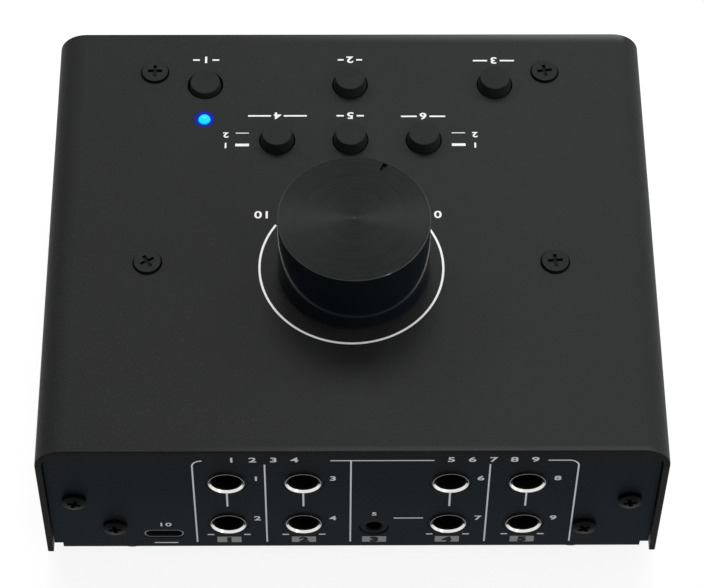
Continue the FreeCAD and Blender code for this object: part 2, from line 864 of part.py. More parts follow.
def make_board_supports():
    """Nylon supports that snap into the floor and hold the main board's front edge."""
    body = new_body("board_support")
    height = "main_under - floor_top"
    below = "tray_sheet"
    above = f"{height} + board_thickness"
    profile = Drawing(body, "XZ_Plane")
    profile.loop(
        [
            ("0", f"-{below} - support_tip"),
            ("support_stub / 2 - support_barb", f"-{below} - support_tip"),
            ("support_stub / 2 + support_barb", f"-{below}"),
            ("support_stub / 2", f"-{below}"),
            ("support_stub / 2", "0"),
            ("support_diameter / 2", "0"),
            ("support_diameter / 2", height),
            ("support_pin / 2", height),
            ("support_pin / 2", above),
            ("support_pin / 2 + support_barb", above),
            ("support_pin / 2 - support_barb", f"{above} + support_tip"),
            ("0", f"{above} + support_tip"),
        ]
    )
    profile.revolve()
    places = [(x, "support_y", "floor_top", UPRIGHT) for x in SUPPORTS]
    group("board_supports", body, places)


def make_fixing_blocks():
    """Tapped blocks on the main board that the inner rear screws pull against the wall."""
    for name, centre in BLOCKS.items():
        body = new_subpart(f"fixing_block_{name}")
        outline = Drawing(body, "XY_Plane", "main_top")
        left = f"{centre} - block_width / 2"
        right = f"{centre} + block_width / 2"
        outline.box(left, "panel_inner - block_depth", right, "panel_inner")
        outline.pad("block_height")
        thread = Drawing(body, "XZ_Plane", "-panel_inner")
        thread.circle(centre, "inner_screw_level", "screw_diameter")
        thread.pocket("block_depth", flip=True)


def make_buttons():
    for name, (x, y, drop) in BUTTONS.items():
        make_switch(name, x, y)
        make_cap(name, x, y, drop)
        make_plunger(name, x, y, drop)


def make_switch(name, x, y):
    body = new_subpart(f"{name}_switch")
    Drawing(body, "XY_Plane", "control_top").square("switch_width").pad("switch_height")
    hole = Drawing(body, "XY_Plane", "switch_top")
    hole.square("stem_width + 2 * stem_gap")
    hole.pocket("switch_lid")
    cavity = Drawing(body, "XY_Plane", "lid_under")
    cavity.square("cavity_width")
    cavity.pocket("switch_height - switch_lid - switch_floor")
    place(body, x, y, "0")


def make_cap(name, x, y, drop):
    body = new_subpart(f"{name}_button_cap")
    profile = Drawing(body, "XZ_Plane")
    profile.loop(
        [
            ("0", "cap_bottom"),
            ("cap_diameter / 2", "cap_bottom"),
            ("cap_diameter / 2", "cap_top - cap_taper_height"),
            ("cap_face_diameter / 2", "cap_top"),
            ("0", "cap_top"),
        ]
    )
    profile.revolve()
    fillet(body, "cap_round", [("cap_face_diameter / 2", "0", "cap_top")])
    socket = Drawing(body, "XY_Plane", "cap_bottom")
    socket.square("stem_width")
    socket.pocket("cap_socket_depth", flip=True)
    place(body, x, y, f"-({drop})")


def make_plunger(name, x, y, drop):
    """Square stem pressed into the cap, with a wider foot that the switch's lid holds in."""
    body = new_subpart(f"{name}_plunger")
    foot_top = "lid_under - stem_gap"
    foot = Drawing(body, "XY_Plane", f"{foot_top} - stem_foot_height")
    foot.square("cavity_width - 2 * stem_foot_gap").pad("stem_foot_height")
    stem = Drawing(body, "XY_Plane", foot_top)
    stem.square("stem_width").pad(f"cap_bottom + cap_socket_depth - ({foot_top})")
    place(body, x, y, f"-({drop})")


def make_led():
    body = new_subpart("status_led")
    profile = Drawing(body, "XZ_Plane")
    profile.loop(
        [
            ("0", "led_bottom"),
            ("led_diameter / 2 + led_rim", "led_bottom"),
            ("led_diameter / 2 + led_rim", "led_bottom + led_rim_height"),
            ("led_diameter / 2", "led_bottom + led_rim_height"),
            ("led_diameter / 2", "led_bottom + led_height"),
            ("0", "led_bottom + led_height"),
        ]
    )
    profile.revolve()
    fillet(body, "led_diameter / 2 - led_flat", [("led_diameter / 2", "0", "led_bottom + led_height")])
    leads = Drawing(body, "XY_Plane", "control_top")
    for side in (-1, 1):
        inner = mirrored(side, "(led_lead_pitch - led_lead_width) / 2")
        outer = mirrored(side, "(led_lead_pitch + led_lead_width) / 2")
        leads.box(inner, "-led_lead_width / 2", outer, "led_lead_width / 2")
    leads.pad("led_bottom - control_top")
    place(body, "2 * button_pitch", "led_y", "0")


def make_potentiometer():
    body = new_subpart("potentiometer_body")
    half = "pot_width / 2"
    case = Drawing(body, "XY_Plane", "control_top")
    case.box("-" + half, "-pot_depth / 2", half, "pot_depth / 2")
    case.pad("spacer_length")
    middle = "(control_top + cover_under) / 2"
    corners = [(mirrored(a, half), mirrored(b, "pot_depth / 2"), middle) for a in (-1, 1) for b in (-1, 1)]
    fillet(body, "pot_corner", corners)
    bushing = Drawing(body, "XY_Plane", "cover_under")
    bushing.circle("0", "0", "bushing_diameter").pad("bushing_length")
    bore = "shaft_diameter / 2 + shaft_gap"
    chamber = "rotor_diameter / 2 + rotor_gap"
    chamber_top = "rotor_bottom + rotor_thickness + rotor_gap"
    hollow = Drawing(body, "XZ_Plane")
    hollow.loop(
        [
            ("0", "rotor_bottom - rotor_gap"),
            (chamber, "rotor_bottom - rotor_gap"),
            (chamber, chamber_top),
            (bore, chamber_top),
            (bore, "bushing_top"),
            ("0", "bushing_top"),
        ]
    )
    hollow.revolve(cut=True)
    place(body, "knob_x", "knob_y", "0")
    washer = new_subpart("potentiometer_washer")
    disc = Drawing(washer, "XY_Plane", "cover_top")
    disc.circle("0", "0", "washer_diameter").circle("0", "0", "bushing_diameter")
    disc.pad("washer_thickness")
    place(washer, "knob_x", "knob_y", "0")
    nut = new_subpart("potentiometer_nut")
    hexagon(nut, "nut_flats", "nut_bottom").circle("0", "0", "bushing_diameter").pad("nut_height")
    place(nut, "knob_x", "knob_y", "0")


def place_on_knob_axis(body):
    """Puts a piece on the knob's axis, turned to where the pointer stands at rest."""
    place(body, "knob_x", "knob_y", "0", FreeCAD.Rotation(CLOCKWISE, value("pointer_angle")))
    bind(body, "Placement.Rotation.Angle", "pointer_angle")


def make_shaft():
    """Shaft with its rotor disc and, at the top, a flat for the set screw."""
    body = new_subpart("potentiometer_shaft")
    radius = "shaft_diameter / 2"
    profile = Drawing(body, "XZ_Plane")
    profile.loop(
        [
            ("0", "rotor_bottom"),
            ("rotor_diameter / 2", "rotor_bottom"),
            ("rotor_diameter / 2", "rotor_bottom + rotor_thickness"),
            (radius, "rotor_bottom + rotor_thickness"),
            (radius, "shaft_top"),
            ("0", "shaft_top"),
        ]
    )
    profile.revolve()
    flat = Drawing(body, "XY_Plane", "shaft_top")
    flat.box(f"-{radius}", f"-{radius}", radius, "-flat_distance")
    flat.pocket("shaft_top - set_screw_level + screw_diameter / 2 + shaft_flat_margin")
    place_on_knob_axis(body)


def make_knob():
    body = new_subpart("volume_knob")
    profile = Drawing(body, "XZ_Plane")
    profile.loop(
        [
            ("shaft_diameter / 2", "knob_recess_top"),
            ("knob_recess_diameter / 2", "knob_recess_top"),
            ("knob_recess_diameter / 2", "knob_bottom"),
            ("knob_base_radius", "knob_bottom"),
            ("knob_top_diameter / 2", "knob_top"),
            ("0", "knob_top"),
            ("0", "shaft_top"),
            ("shaft_diameter / 2", "shaft_top"),
        ]
    )
    profile.revolve()
    chamfer(body, "knob_chamfer", [("knob_top_diameter / 2", "0", "knob_top")])
    pointer = Drawing(body, "XY_Plane", "knob_top")
    rim = "-knob_top_diameter / 2 + pointer_wall"
    pointer.box("-pointer_width / 2", rim, "pointer_width / 2", f"{rim} + pointer_length")
    pointer.pocket("pointer_depth")
    thread = Drawing(body, "XZ_Plane", "knob_base_radius")
    thread.circle("0", "set_screw_level", "screw_diameter")
    thread.pocket("knob_base_radius - flat_distance")
    place_on_knob_axis(body)


def make_set_screw():
    """Headless screw in the side of the knob, pressed on the shaft's flat."""
    body = new_subpart("knob_set_screw")
    shank = Drawing(body, "XZ_Plane", "flat_distance")
    shank.circle("0", "set_screw_level", "screw_diameter").pad("set_screw_length")
    key = Drawing(body, "XZ_Plane", "flat_distance + set_screw_length")
    half = "set_screw_key / 2"
    low = "set_screw_level - set_screw_key / 2"
    key.box("-" + half, low, half, f"{low} + set_screw_key")
    key.pocket("set_screw_key_depth")
    place_on_knob_axis(body)


def make_jacks():
    for number, x in enumerate(JACK_COLUMNS, 1):
        make_jack_body(f"jack_housing_{number}", x)
        for row, level in (("lower", "jack_low"), ("upper", "jack_high")):
            make_jack_ring(f"jack_ring_{number}_{row}", x, level)


def make_jack_body(label, x):
    """Housing with two sockets, one above the other."""
    body = new_subpart(label)
    half = "jack_body_width / 2"
    housing = Drawing(body, "XY_Plane", "main_top")
    housing.box("-" + half, "jack_rear", half, "panel_inner")
    housing.pad("jack_high + jack_body_margin - main_top")
    middle = "panel_inner - jack_body_depth / 2"
    roof = "jack_high + jack_body_margin"
    fillet(body, "jack_body_round", [(mirrored(s, half), middle, roof) for s in (-1, 1)])
    noses = Drawing(body, "XZ_Plane", "-panel_inner")
    seats = Drawing(body, "XZ_Plane", "-panel_face")
    for level in ("jack_low", "jack_high"):
        noses.circle("0", level, "jack_nose_diameter")
        seats.circle("0", level, "ring_diameter")
    noses.pad("tray_sheet - jack_nose_recess", flip=True)
    seats.pocket("ring_length - ring_rise", flip=True)
    bores = Drawing(body, "XZ_Plane", "-jack_mouth")
    for level in ("jack_low", "jack_high"):
        bores.circle("0", level, "jack_bore")
    bores.pocket("jack_mouth - jack_rear - jack_back_wall", flip=True)
    place(body, x, "0", "0")


def make_jack_ring(label, x, level):
    """Plated ring at a socket's mouth, along its own +Z with the mouth at the top."""
    body = new_subpart(label)
    outer = "ring_diameter / 2"
    inner = "ring_bore / 2"
    profile = Drawing(body, "XZ_Plane")
    profile.loop(
        [
            (inner, "-ring_length"),
            (outer, "-ring_length"),
            (outer, "0"),
            (f"{inner} + ring_cone", "0"),
            (inner, "-ring_cone_depth"),
        ]
    )
    profile.revolve()
    place(body, x, "jack_mouth", level, TOWARDS_REAR)


def make_mini_jack():
    body = new_subpart("mini_jack")
    half = "mini_body_width / 2"
    housing = Drawing(body, "XY_Plane", "main_top")
    housing.box("-" + half, "mini_rear", half, "panel_inner")
    housing.pad("mini_level + mini_body_margin - main_top")
    nose = Drawing(body, "XZ_Plane", "-panel_inner")
    nose.circle("0", "mini_level", "mini_nose_diameter").pad("mini_face - panel_inner", flip=True)
    bore = Drawing(body, "XZ_Plane", "-mini_face")
    bore.circle("0", "mini_level", "mini_bore")
    bore.pocket("mini_face - mini_rear - mini_back_wall", flip=True)
    chamfer(body, "mini_chamfer", [("mini_bore / 2", "mini_face", "mini_level")])
    place(body, "-mini_offset", "0", "0")


def make_usb_socket():
    shell = new_subpart("usb_shell")
    tube = Drawing(shell, "XZ_Plane", "-usb_mouth")
    tube.pill("0", "usb_level", "usb_width", "usb_height")
    tube.pill("0", "usb_level", "usb_width - 2 * usb_shell", "usb_height - 2 * usb_shell")
    tube.pad("usb_length")
    place(shell, "usb_x", "0", "0")
    tongue = new_subpart("usb_tongue")
    base = Drawing(tongue, "XZ_Plane", "-usb_back")
    base.pill("0", "usb_level", "usb_width - 2 * usb_shell", "usb_height - 2 * usb_shell")
    base.pad("usb_base", flip=True)
    blade = Drawing(tongue, "XZ_Plane", "-usb_back")
    low = "usb_level - tongue_thickness / 2"
    blade.box("-tongue_width / 2", low, "tongue_width / 2", f"{low} + tongue_thickness")
    blade.pad("usb_length - tongue_recess", flip=True)
    place(tongue, "usb_x", "0", "0")


def make_wireless_module():
    """Receiver module: a small board with a shielding can."""
    body = new_subpart("wireless_module")
    board = Drawing(body, "XY_Plane", "main_top")
    board.box("0", "0", "module_width", "module_depth").pad("module_board")
    can = Drawing(body, "XY_Plane", "main_top + module_board")
    right = "can_margin + can_width"
    can.box("can_margin", "can_margin", right, "can_margin + can_depth").pad("can_height")
    place(body, "module_left", "module_front", "0")


def make_ribbon():
    for name, y, level in (
        ("upper", "upper_header_y", "ribbon_top"),
        ("lower", "lower_header_y", "main_top"),
    ):
        body = new_subpart(f"ribbon_header_{name}")
        block = Drawing(body, "XY_Plane", level)
        half_width = "header_width / 2"
        half_depth = "header_depth / 2"
        block.box("-" + half_width, "-" + half_depth, half_width, half_depth).pad("header_height")
        place(body, "-header_offset", y, "0")
    body = new_subpart("ribbon_cable")
    half = "ribbon_thickness / 2"
    inner = (f"upper_header_y + {half}", f"ribbon_middle + {half}")
    outer = (f"upper_header_y - {half}", f"ribbon_middle - {half}")
    far_outer = (f"lower_header_y + {half}", f"ribbon_middle + {half}")
    far_inner = (f"lower_header_y - {half}", f"ribbon_middle - {half}")
    profile = Drawing(body, "YZ_Plane")
    profile.loop(
        [
            (outer[0], "ribbon_top"),
            (inner[0], "ribbon_top"),
            inner,
            far_outer,
            (far_outer[0], "ribbon_bottom"),
            (far_inner[0], "ribbon_bottom"),
            far_inner,
            outer,
        ]
    )
    profile.pad("ribbon_width", symmetric=True)
    fillet(body, "ribbon_bend", [("0", *inner), ("0", *far_inner)])
    fillet(body, "ribbon_bend + ribbon_thickness", [("0", *outer), ("0", *far_outer)])
    place(body, "-header_offset", "0", "0")


def check_document():
    """Stops if any object failed to build."""
    for item in doc.Objects:
        if "Invalid" in item.State or "Error" in item.State:
            raise RuntimeError(f"{item.Label} did not build: {item.State}")
    for item in subparts:
        if item.Shape.isNull() or not item.Shape.isValid() or not item.Shape.Solids:
            raise RuntimeError(f"{item.Label} has no valid solid")


def write_subparts():
    os.makedirs("parts", exist_ok=True)
    for item in subparts:
        item.Shape.exportStep(f"parts/{item.Label}.step")


def main():
    fill_sheet()
    make_cover()
    make_tray()
    make_feet()
    make_brackets()
    make_screws()
    make_spacers()
    make_control_board()
    make_main_board()
    make_board_supports()
    make_fixing_blocks()
    make_buttons()
    make_led()
    make_potentiometer()
    make_shaft()
    make_knob()
    make_set_screw()
    make_jacks()
    make_mini_jack()
    make_usb_socket()
    make_wireless_module()
    make_ribbon()
    doc.recompute()
    check_document()
    write_subparts()
    print(len(subparts), "sub-parts")


main()
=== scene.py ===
import json
import math
import bmesh
import bpy
from mathutils import Matrix, Vector

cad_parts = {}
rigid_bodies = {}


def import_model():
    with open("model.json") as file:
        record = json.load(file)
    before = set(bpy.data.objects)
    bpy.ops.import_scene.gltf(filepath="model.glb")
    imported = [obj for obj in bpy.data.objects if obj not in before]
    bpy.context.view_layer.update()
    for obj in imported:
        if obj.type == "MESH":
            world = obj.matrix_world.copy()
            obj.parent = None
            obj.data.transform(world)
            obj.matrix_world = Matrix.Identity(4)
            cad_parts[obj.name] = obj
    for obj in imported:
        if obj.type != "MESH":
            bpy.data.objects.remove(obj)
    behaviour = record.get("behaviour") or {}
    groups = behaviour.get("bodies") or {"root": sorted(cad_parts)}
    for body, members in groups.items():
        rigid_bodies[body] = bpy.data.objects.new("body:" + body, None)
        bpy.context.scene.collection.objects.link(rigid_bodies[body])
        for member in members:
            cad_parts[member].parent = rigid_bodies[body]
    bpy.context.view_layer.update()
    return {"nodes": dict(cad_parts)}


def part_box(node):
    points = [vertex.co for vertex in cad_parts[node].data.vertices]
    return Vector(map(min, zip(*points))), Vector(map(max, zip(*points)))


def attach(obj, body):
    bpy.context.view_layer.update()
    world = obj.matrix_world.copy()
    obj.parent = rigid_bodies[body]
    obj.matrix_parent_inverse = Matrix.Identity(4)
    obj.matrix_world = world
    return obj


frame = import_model()
parts = frame["nodes"]

# Sizes and places are millimetres, and MM turns them to metres.
MM = 0.001
CASE_TOP = 47.0
REAR_WALL = 57.5
DIAL_CENTRE = (0.0, 9.7)
DIAL_RADIUS = 20.8
DIAL_HALF_GAP = 55.6
KNOB_AXIS = (-0.5, 9.7)
KNOB_TOP = 65.9
KNOB_FACE_RADIUS = 16.8
LIGHT_PLACE = (34.2, -32.8)
SOCKET_COLUMNS = (27.9, 10.9, -21.75, -38.75)
SOCKET_ROWS = (32.2, 14.4)
RING_FACE = REAR_WALL + 0.4
RING_CONE_DEPTH = 0.55
RING_CONE_RADIUS = 3.9
COAT_GRAIN = 0.42


# ---------------------------------------------------------------- shader values


class Signal:
    """A shader value that Python's operators turn into Math nodes."""

    def __init__(self, finish, socket):
        self.finish = finish
        self.socket = socket

    def __add__(self, other):
        return self.finish.math("ADD", self, other)

    def __sub__(self, other):
        return self.finish.math("SUBTRACT", self, other)

    def __rsub__(self, other):
        return self.finish.math("SUBTRACT", other, self)

    def __mul__(self, other):
        return self.finish.math("MULTIPLY", self, other)

    def __truediv__(self, other):
        return self.finish.math("DIVIDE", self, other)

    def __pow__(self, other):
        return self.finish.math("POWER", self, other)

    __radd__ = __add__
    __rmul__ = __mul__

    def limited(self):
        return self.finish.node("ShaderNodeClamp", {}, self).signal()

    def ramp(self, low, high):
        """0 below low, 1 above high, smooth between."""
        settings = {"interpolation_type": "SMOOTHSTEP"}
        return self.finish.node("ShaderNodeMapRange", settings, self, low, high, 0.0, 1.0).signal()

    def ramp_mm(self, low, high):
        """The same ramp between two lengths in millimetres."""
        return self.ramp(low * MM, high * MM)


class Made:
    """A node just made, with its outputs at hand."""

    def __init__(self, finish, node):
        self.finish = finish
        self.node = node

    def signal(self, name=None):
        outputs = self.node.outputs
        socket = outputs[name] if name else next(o for o in outputs if o.enabled)
        return Signal(self.finish, socket)


class Finish:
    """A material with one Principled shader, whose parts are set with give()."""

    def __init__(self, name, **constants):
        self.material = bpy.data.materials.new(name)
        self.material.use_nodes = True
        self.tree = self.material.node_tree
        self.tree.nodes.clear()
        self.shader = self.node("ShaderNodeBsdfPrincipled", {}).node
        output = self.node("ShaderNodeOutputMaterial", {}).node
        self.tree.links.new(self.shader.outputs["BSDF"], output.inputs["Surface"])
        self.place = self.node("ShaderNodeTexCoord", {}).signal("Object")
        axes = self.node("ShaderNodeSeparateXYZ", {}, self.place)
        self.x = axes.signal("X")
        self.y = axes.signal("Y")
        self.z = axes.signal("Z")
        self.give(**constants)

    def node(self, kind, settings, *values, **sockets):
        """Makes a node: settings first, then the values or links of its sockets."""
        made = self.tree.nodes.new(kind)
        for name, value in settings.items():
            setattr(made, name, value)
        for socket, value in zip([s for s in made.inputs if s.enabled], values):
            self.feed(socket, value)
        for name, value in sockets.items():
            wanted = name.replace("_", " ")
            self.feed(next(s for s in made.inputs if s.enabled and s.name == wanted), value)
        return Made(self, made)

    def feed(self, socket, value):
        if isinstance(value, Signal):
            self.tree.links.new(value.socket, socket)
        elif isinstance(value, (tuple, list)) and socket.type == "RGBA":
            socket.default_value = (*value, 1.0)
        else:
            socket.default_value = value

    def math(self, operation, *values):
        return self.node("ShaderNodeMath", {"operation": operation}, *values).signal()

    def noise(self, size_mm, detail=2.0, roughness=0.5, place=None):
        """Cloudy noise from 0 to 1, with features of about the given size."""
        sockets = {"Vector": place or self.place, "Scale": 1.0 / (size_mm * MM)}
        return self.node("ShaderNodeTexNoise", {}, Detail=detail, Roughness=roughness, **sockets).signal()

    def cells(self, size_mm):
        """Distance to the nearest of many scattered points."""
        sockets = {"Vector": self.place, "Scale": 1.0 / (size_mm * MM)}
        return self.node("ShaderNodeTexVoronoi", {"feature": "F1"}, **sockets).signal("Distance")

    def stretched(self, x, y, z):
        """Object coordinates scaled along each axis."""
        sockets = {"Scale": (x, y, z)}
        return self.node("ShaderNodeMapping", {}, Vector=self.place, **sockets).signal()

    def blend(self, low, high, amount):
        """A colour between two colours."""
        return self.node("ShaderNodeMix", {"data_type": "RGBA"}, amount, low, high).signal()

    def radius_from(self, x_mm, y_mm):
        """Distance from an upright axis."""
        across = self.x - x_mm * MM
        along = self.y - y_mm * MM
        return (across * across + along * along) ** 0.5

    def gap_to(self, value, places_mm):
        """Distance along one axis to the nearest of some places."""
        gaps = [self.math("ABSOLUTE", value - place * MM) for place in places_mm]
        nearest = gaps[0]
        for gap in gaps[1:]:
            nearest = self.math("MINIMUM", nearest, gap)
        return nearest

    def bump(self, height, depth_mm):
        """A normal for a height from 0 to 1 that stands for the given depth."""
        sockets = {"Height": height, "Distance": depth_mm * MM, "Strength": 1.0}
        return self.node("ShaderNodeBump", {}, **sockets).signal()

    def give(self, **sockets):
        """Sets sockets of the shader, with _ for the spaces in their names."""
        for name, value in sockets.items():
            self.feed(self.shader.inputs[name.replace("_", " ")], value)


# ---------------------------------------------------------------- finishes


def powder_coat(name, sheet, tone, gloss, end_shade_tones, end_shade_heights):
    """Fine-textured black powder coat: a leathery grain, faint mottling, thin on the cut edges, with
    painted light that is lighter towards −x and a painted sheen along the front and rear edges of the
    top.

    The end faces of the sheet take painted shade, going from the first to the second share of
    end_shade_tones between end_shade_heights.
    """
    coat = Finish(name, Metallic=0.0, Specular_IOR_Level=gloss)
    bottom, (width, depth, _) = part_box(sheet)
    cloud = coat.noise(22.0, 3.0)
    grain = coat.noise(COAT_GRAIN, 2.0, 0.6)
    pits = coat.cells(0.55)
    speck = coat.noise(0.55, 1.0).ramp(0.6, 0.78)
    scuff = coat.noise(1.6, 4.0, 0.7).ramp(0.5, 0.75)
    end = coat.math("ABSOLUTE", coat.y).ramp(depth - 0.12 * MM, depth - 0.02 * MM)
    arris = coat.math("ABSOLUTE", coat.y).ramp(depth - 0.7 * MM, depth - 0.3 * MM)
    side = coat.math("ABSOLUTE", coat.x).ramp(width - 0.25 * MM, width)
    low = 1.0 - coat.z.ramp(bottom[2] + 0.05 * MM, bottom[2] + 0.5 * MM)
    rubbed = (arris * (1.0 - end) + low * side).limited() * (0.25 + 0.75 * scuff)
    # Painted light: the coat is lighter towards −x and darker towards +x.
    painted_side_light = coat.x.ramp_mm(-75.0, 75.0)
    thin = coat.blend([0.98 * t for t in tone], [0.7 * t for t in tone], painted_side_light)
    thick = coat.blend([1.26 * t for t in tone], [0.94 * t for t in tone], painted_side_light)
    plain = coat.blend(thin, thick, cloud)
    flecked = coat.blend(plain, [1.9 * t for t in tone], speck * 0.4)
    worn = coat.blend(flecked, [1.7 * t for t in tone], rubbed * 0.6)
    # Painted shade on the end faces, from the first share of the tone low down to the second share high
    # up.
    rise = coat.z.ramp_mm(*end_shade_heights)
    cut = coat.blend(*([share * t for t in tone] for share in end_shade_tones), rise)
    # Painted sheen: the top face lightens towards its front and rear edges.
    edge_sheen = painted_edge_sheen(coat, depth) * coat.z.ramp_mm(CASE_TOP - 1.0, CASE_TOP - 0.1)
    colour = coat.blend(coat.blend(worn, [6.0 * t for t in tone], edge_sheen), cut, end)
    roughness = 0.36 + 0.1 * grain + 0.05 * cloud - 0.08 * rubbed
    height = grain * 0.7 + pits * 0.6
    coat.give(Base_Color=colour, Roughness=roughness, Normal=coat.bump(height, 0.09))
    coat.colour = colour
    return coat


def painted_edge_sheen(coat, depth):
    """Painted sheen: a lighter band along the front edge, stronger towards −x, and a faint one along the
    rear edge.
    """
    front = 1.0 - coat.y.ramp(-depth, 3.6 * MM - depth)
    rear = coat.y.ramp(depth - 1.7 * MM, depth - 0.6 * MM)
    front_share = front * front * (1.0 - coat.x.ramp_mm(-70.0, 45.0))
    rear_share = rear * 0.12 * (1.0 - coat.x.ramp_mm(0.0, 45.0))
    return front_share + rear_share


def cover_finish():
    """The cover's coat, with a painted blue glow of the lit lamp round its hole, over coat painted near
    black.
    """
    tone = (0.0205, 0.0212, 0.0214)
    # The cover's end faces take painted shade, near black on the top.
    coat = powder_coat("cover_powder_coat", "top_cover", tone, 0.035, (0.5, 0.05), (38.0, 42.0))
    away = coat.radius_from(*LIGHT_PLACE)
    # Painted light: a blue glow round the lamp's hole, on coat painted near black.
    painted_lamp_spill = (1.0 - away.ramp_mm(1.3, 3.3)) * coat.z.ramp_mm(CASE_TOP - 0.5, CASE_TOP - 0.1)
    coat.give(
        Base_Color=coat.blend(coat.colour, (0.001, 0.001, 0.004), painted_lamp_spill),
        Emission_Color=coat.blend((0.0, 0.0, 0.0), (0.0, 0.01, 0.6), painted_lamp_spill * painted_lamp_spill),
        Emission_Strength=1.0,
    )
    return coat.material


def tray_finish():
    """The tray's coat, a little bluer than the cover's."""
    tone = (0.017, 0.027, 0.035)
    # The tray's wall faces take painted shade, darker towards the top.
    coat = powder_coat("tray_powder_coat", "chassis_tray", tone, 0.025, (0.66, 0.36), (4.0, 46.0))
    return coat.material


def knob_finish():
    """Black anodised aluminium: polished side, a painted highlight on the bevel, finely turned top."""
    skin = Finish("black_anodised_knob", Metallic=0.0, Specular_IOR_Level=0.065)
    away = skin.radius_from(*KNOB_AXIS)
    inside = 1.0 - away.ramp_mm(KNOB_FACE_RADIUS + 0.01, KNOB_FACE_RADIUS + 0.04)
    top = skin.z.ramp_mm(KNOB_TOP - 5.9, KNOB_TOP - 4.9) * inside
    # The bevel is painted lighter all round, as a painted highlight.
    rim = skin.z.ramp_mm(KNOB_TOP - 0.21, KNOB_TOP - 0.18) * (1.0 - inside)
    tool_pitch = 0.22 * MM
    turning = skin.math("SINE", away * (2.0 * math.pi / tool_pitch))
    coarse = skin.node(
        "ShaderNodeTexNoise", {"noise_dimensions": "1D"}, W=away, Scale=1.0 / (0.35 * MM), Detail=3.0
    ).signal()
    smear = skin.noise(9.0, 3.0)
    dust = skin.noise(0.5, 2.0).ramp(0.66, 0.8)
    side_colour = skin.blend((0.0065, 0.0098, 0.0128), (0.009, 0.0125, 0.016), smear)
    top_colour = skin.blend((0.0015, 0.002, 0.0021), (0.0035, 0.0042, 0.0043), coarse)
    turned = skin.blend(side_colour, top_colour, top)
    dusty = skin.blend(turned, (0.03, 0.03, 0.03), dust * 0.25)
    centre = 1.0 - away.ramp_mm(0.2, 0.35)
    marked = skin.blend(dusty, (0.05, 0.05, 0.05), centre)
    roughness = 0.085 + 0.03 * smear + (0.12 + 0.1 * coarse) * top + 0.05 * dust
    height = (turning * 0.5 + coarse) * top
    colour = skin.blend(marked, (0.06, 0.062, 0.065), rim)
    skin.give(Base_Color=colour, Roughness=roughness, Normal=skin.bump(height, 0.022))
    return skin.material


def moulded(name, tone, roughness, grain_mm=0.25, depth_mm=0.012, sheen=0.12, gloss=0.3):
    """Moulded plastic: fine mould grain, slight clouds and rubbed marks."""
    plastic = Finish(name, Metallic=0.0, Specular_IOR_Level=gloss)
    cloud = plastic.noise(6.0, 3.0)
    grain = plastic.noise(grain_mm, 2.0, 0.6)
    rub = plastic.noise(2.2, 4.0, 0.65).ramp(0.55, 0.75)
    colour = plastic.blend([0.85 * t for t in tone], [1.15 * t for t in tone], cloud)
    plastic.give(
        Base_Color=colour,
        Roughness=(roughness - sheen * rub) + 0.08 * grain,
        Normal=plastic.bump(grain, depth_mm),
    )
    return plastic.material


def low_head_steel():
    """Blackened screw heads: rubbed on the face with painted glints, with painted shade on the sloping
    side and in the recess.
    """
    steel = Finish("black_phosphate_steel", Metallic=0.0, Specular_IOR_Level=0.03)
    # Below the face, the sloping side and the recess are painted near black as shade.
    face = steel.z.ramp_mm(CASE_TOP + 0.5, CASE_TOP + 0.62)
    cloud = steel.noise(1.2, 3.0, 0.6)
    painted_glint = steel.noise(0.5, 2.0, 0.6).ramp(0.62, 0.75)
    rubbed = steel.blend((0.011, 0.0118, 0.012), (0.018, 0.0188, 0.019), cloud)
    # The light spots on the face are painted glints.
    worn = steel.blend(rubbed, (0.05, 0.052, 0.054), painted_glint * 0.35)
    steel.give(
        Base_Color=steel.blend((0.001, 0.0011, 0.0012), worn, face),
        Roughness=0.32 + 0.15 * cloud,
        Normal=steel.bump(cloud, 0.02),
    )
    return steel.material


def plated(name, tone, roughness, brush=(1.0, 1.0, 1.0), dirt=0.2, depth_mm=0.004):
    """Plated or turned metal: brush lines, tarnish in clouds."""
    metal = Finish(name, Metallic=1.0)
    cloud = metal.noise(3.5, 4.0, 0.6)
    lines = metal.noise(0.18, 3.0, 0.65, metal.stretched(*brush))
    stain = metal.noise(1.1, 3.0).ramp(0.5, 0.8)
    bright = metal.blend([0.9 * t for t in tone], tone, cloud)
    colour = metal.blend(bright, [0.45 * t for t in tone], stain * dirt)
    metal.give(
        Base_Color=colour,
        Roughness=roughness + 0.12 * lines + 0.15 * dirt * stain,
        Normal=metal.bump(lines, depth_mm),
    )
    return metal.material


def socket_nickel():
    """Nickel socket rings: bright in the cone, with painted shade on the lip and outside."""
    ring = Finish("socket_ring_nickel", Metallic=1.0)
    across = ring.gap_to(ring.x, SOCKET_COLUMNS)
    up = ring.gap_to(ring.z, SOCKET_ROWS)
    away = (across * across + up * up) ** 0.5
    mouth = 1.0 - away.ramp_mm(RING_CONE_RADIUS - 0.01, RING_CONE_RADIUS + 0.01)
    cone_foot = RING_FACE - RING_CONE_DEPTH
    cone = mouth * ring.y.ramp_mm(cone_foot - 0.01, cone_foot + 0.01)
    lines = ring.noise(0.18, 3.0, 0.65)
    # Painted shade: the lip and outside are much darker than the cone.
    shaded_lip = ring.blend((0.16, 0.165, 0.17), (0.22, 0.225, 0.23), lines)
    ring.give(
        Base_Color=ring.blend(shaded_lip, (0.78, 0.77, 0.75), cone),
        Roughness=0.12 + 0.12 * lines,
        Normal=ring.bump(lines, 0.001),
    )
    return ring.material


def rubber():
    """Soft black rubber with a bloom and a fine moulded grain."""
    skin = Finish("black_rubber", Metallic=0.0)
    bloom = skin.noise(3.0, 4.0, 0.65).ramp(0.4, 0.8)
    grain = skin.noise(0.3, 3.0, 0.6)
    worn = 1.0 - skin.z.ramp_mm(0.1, 0.5)
    skin.give(
        Base_Color=skin.blend((0.012, 0.012, 0.012), (0.045, 0.045, 0.043), bloom * 0.5 + worn * 0.4),
        Roughness=0.72 + 0.12 * grain,
        Normal=skin.bump(grain, 0.03),
    )
    return skin.material


